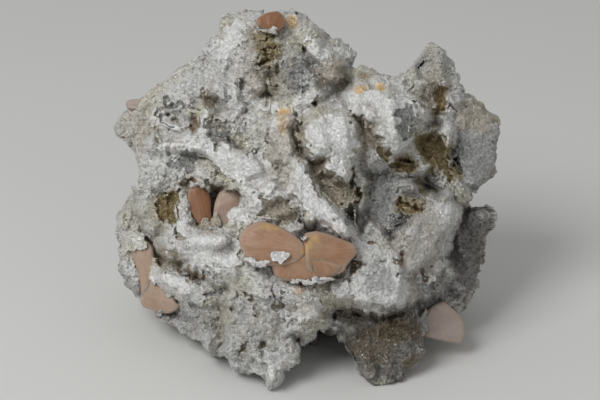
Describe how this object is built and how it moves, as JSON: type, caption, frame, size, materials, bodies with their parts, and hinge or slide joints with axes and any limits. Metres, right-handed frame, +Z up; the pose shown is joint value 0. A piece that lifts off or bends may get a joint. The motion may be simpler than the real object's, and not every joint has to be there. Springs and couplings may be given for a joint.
{
  "type": "mineral specimen",
  "caption": "Hand specimen of sparkling grey-white chalcedony plates with peach stilbite crystals, standing on its own feet with its face leaning back.",
  "frame": {"origin": "on the ground, under the middle of the specimen's outer box", "axes": "+Z up, +X to the right as the display face is seen, -Y the way the display face looks; the face leans back by 25 degrees"},
  "size_m": [0.1238, 0.0932, 0.1035],
  "materials": {
    "chalcedony": "sugary druse of fine quartz points, sparkling",
    "stilbite": "waxy to pearly, with fine radiating ribs"
  },
  "bodies": {
    "root": {"chalcedony": "chalcedony", "stilbite_bow_tie": "stilbite", "stilbite_left_blade": "stilbite", "stilbite_right_blade": "stilbite", "stilbite_vug_large": "stilbite", "stilbite_vug_small": "stilbite", "stilbite_crown": "stilbite", "stilbite_corner": "stilbite"}
  },
  "joints": []
}
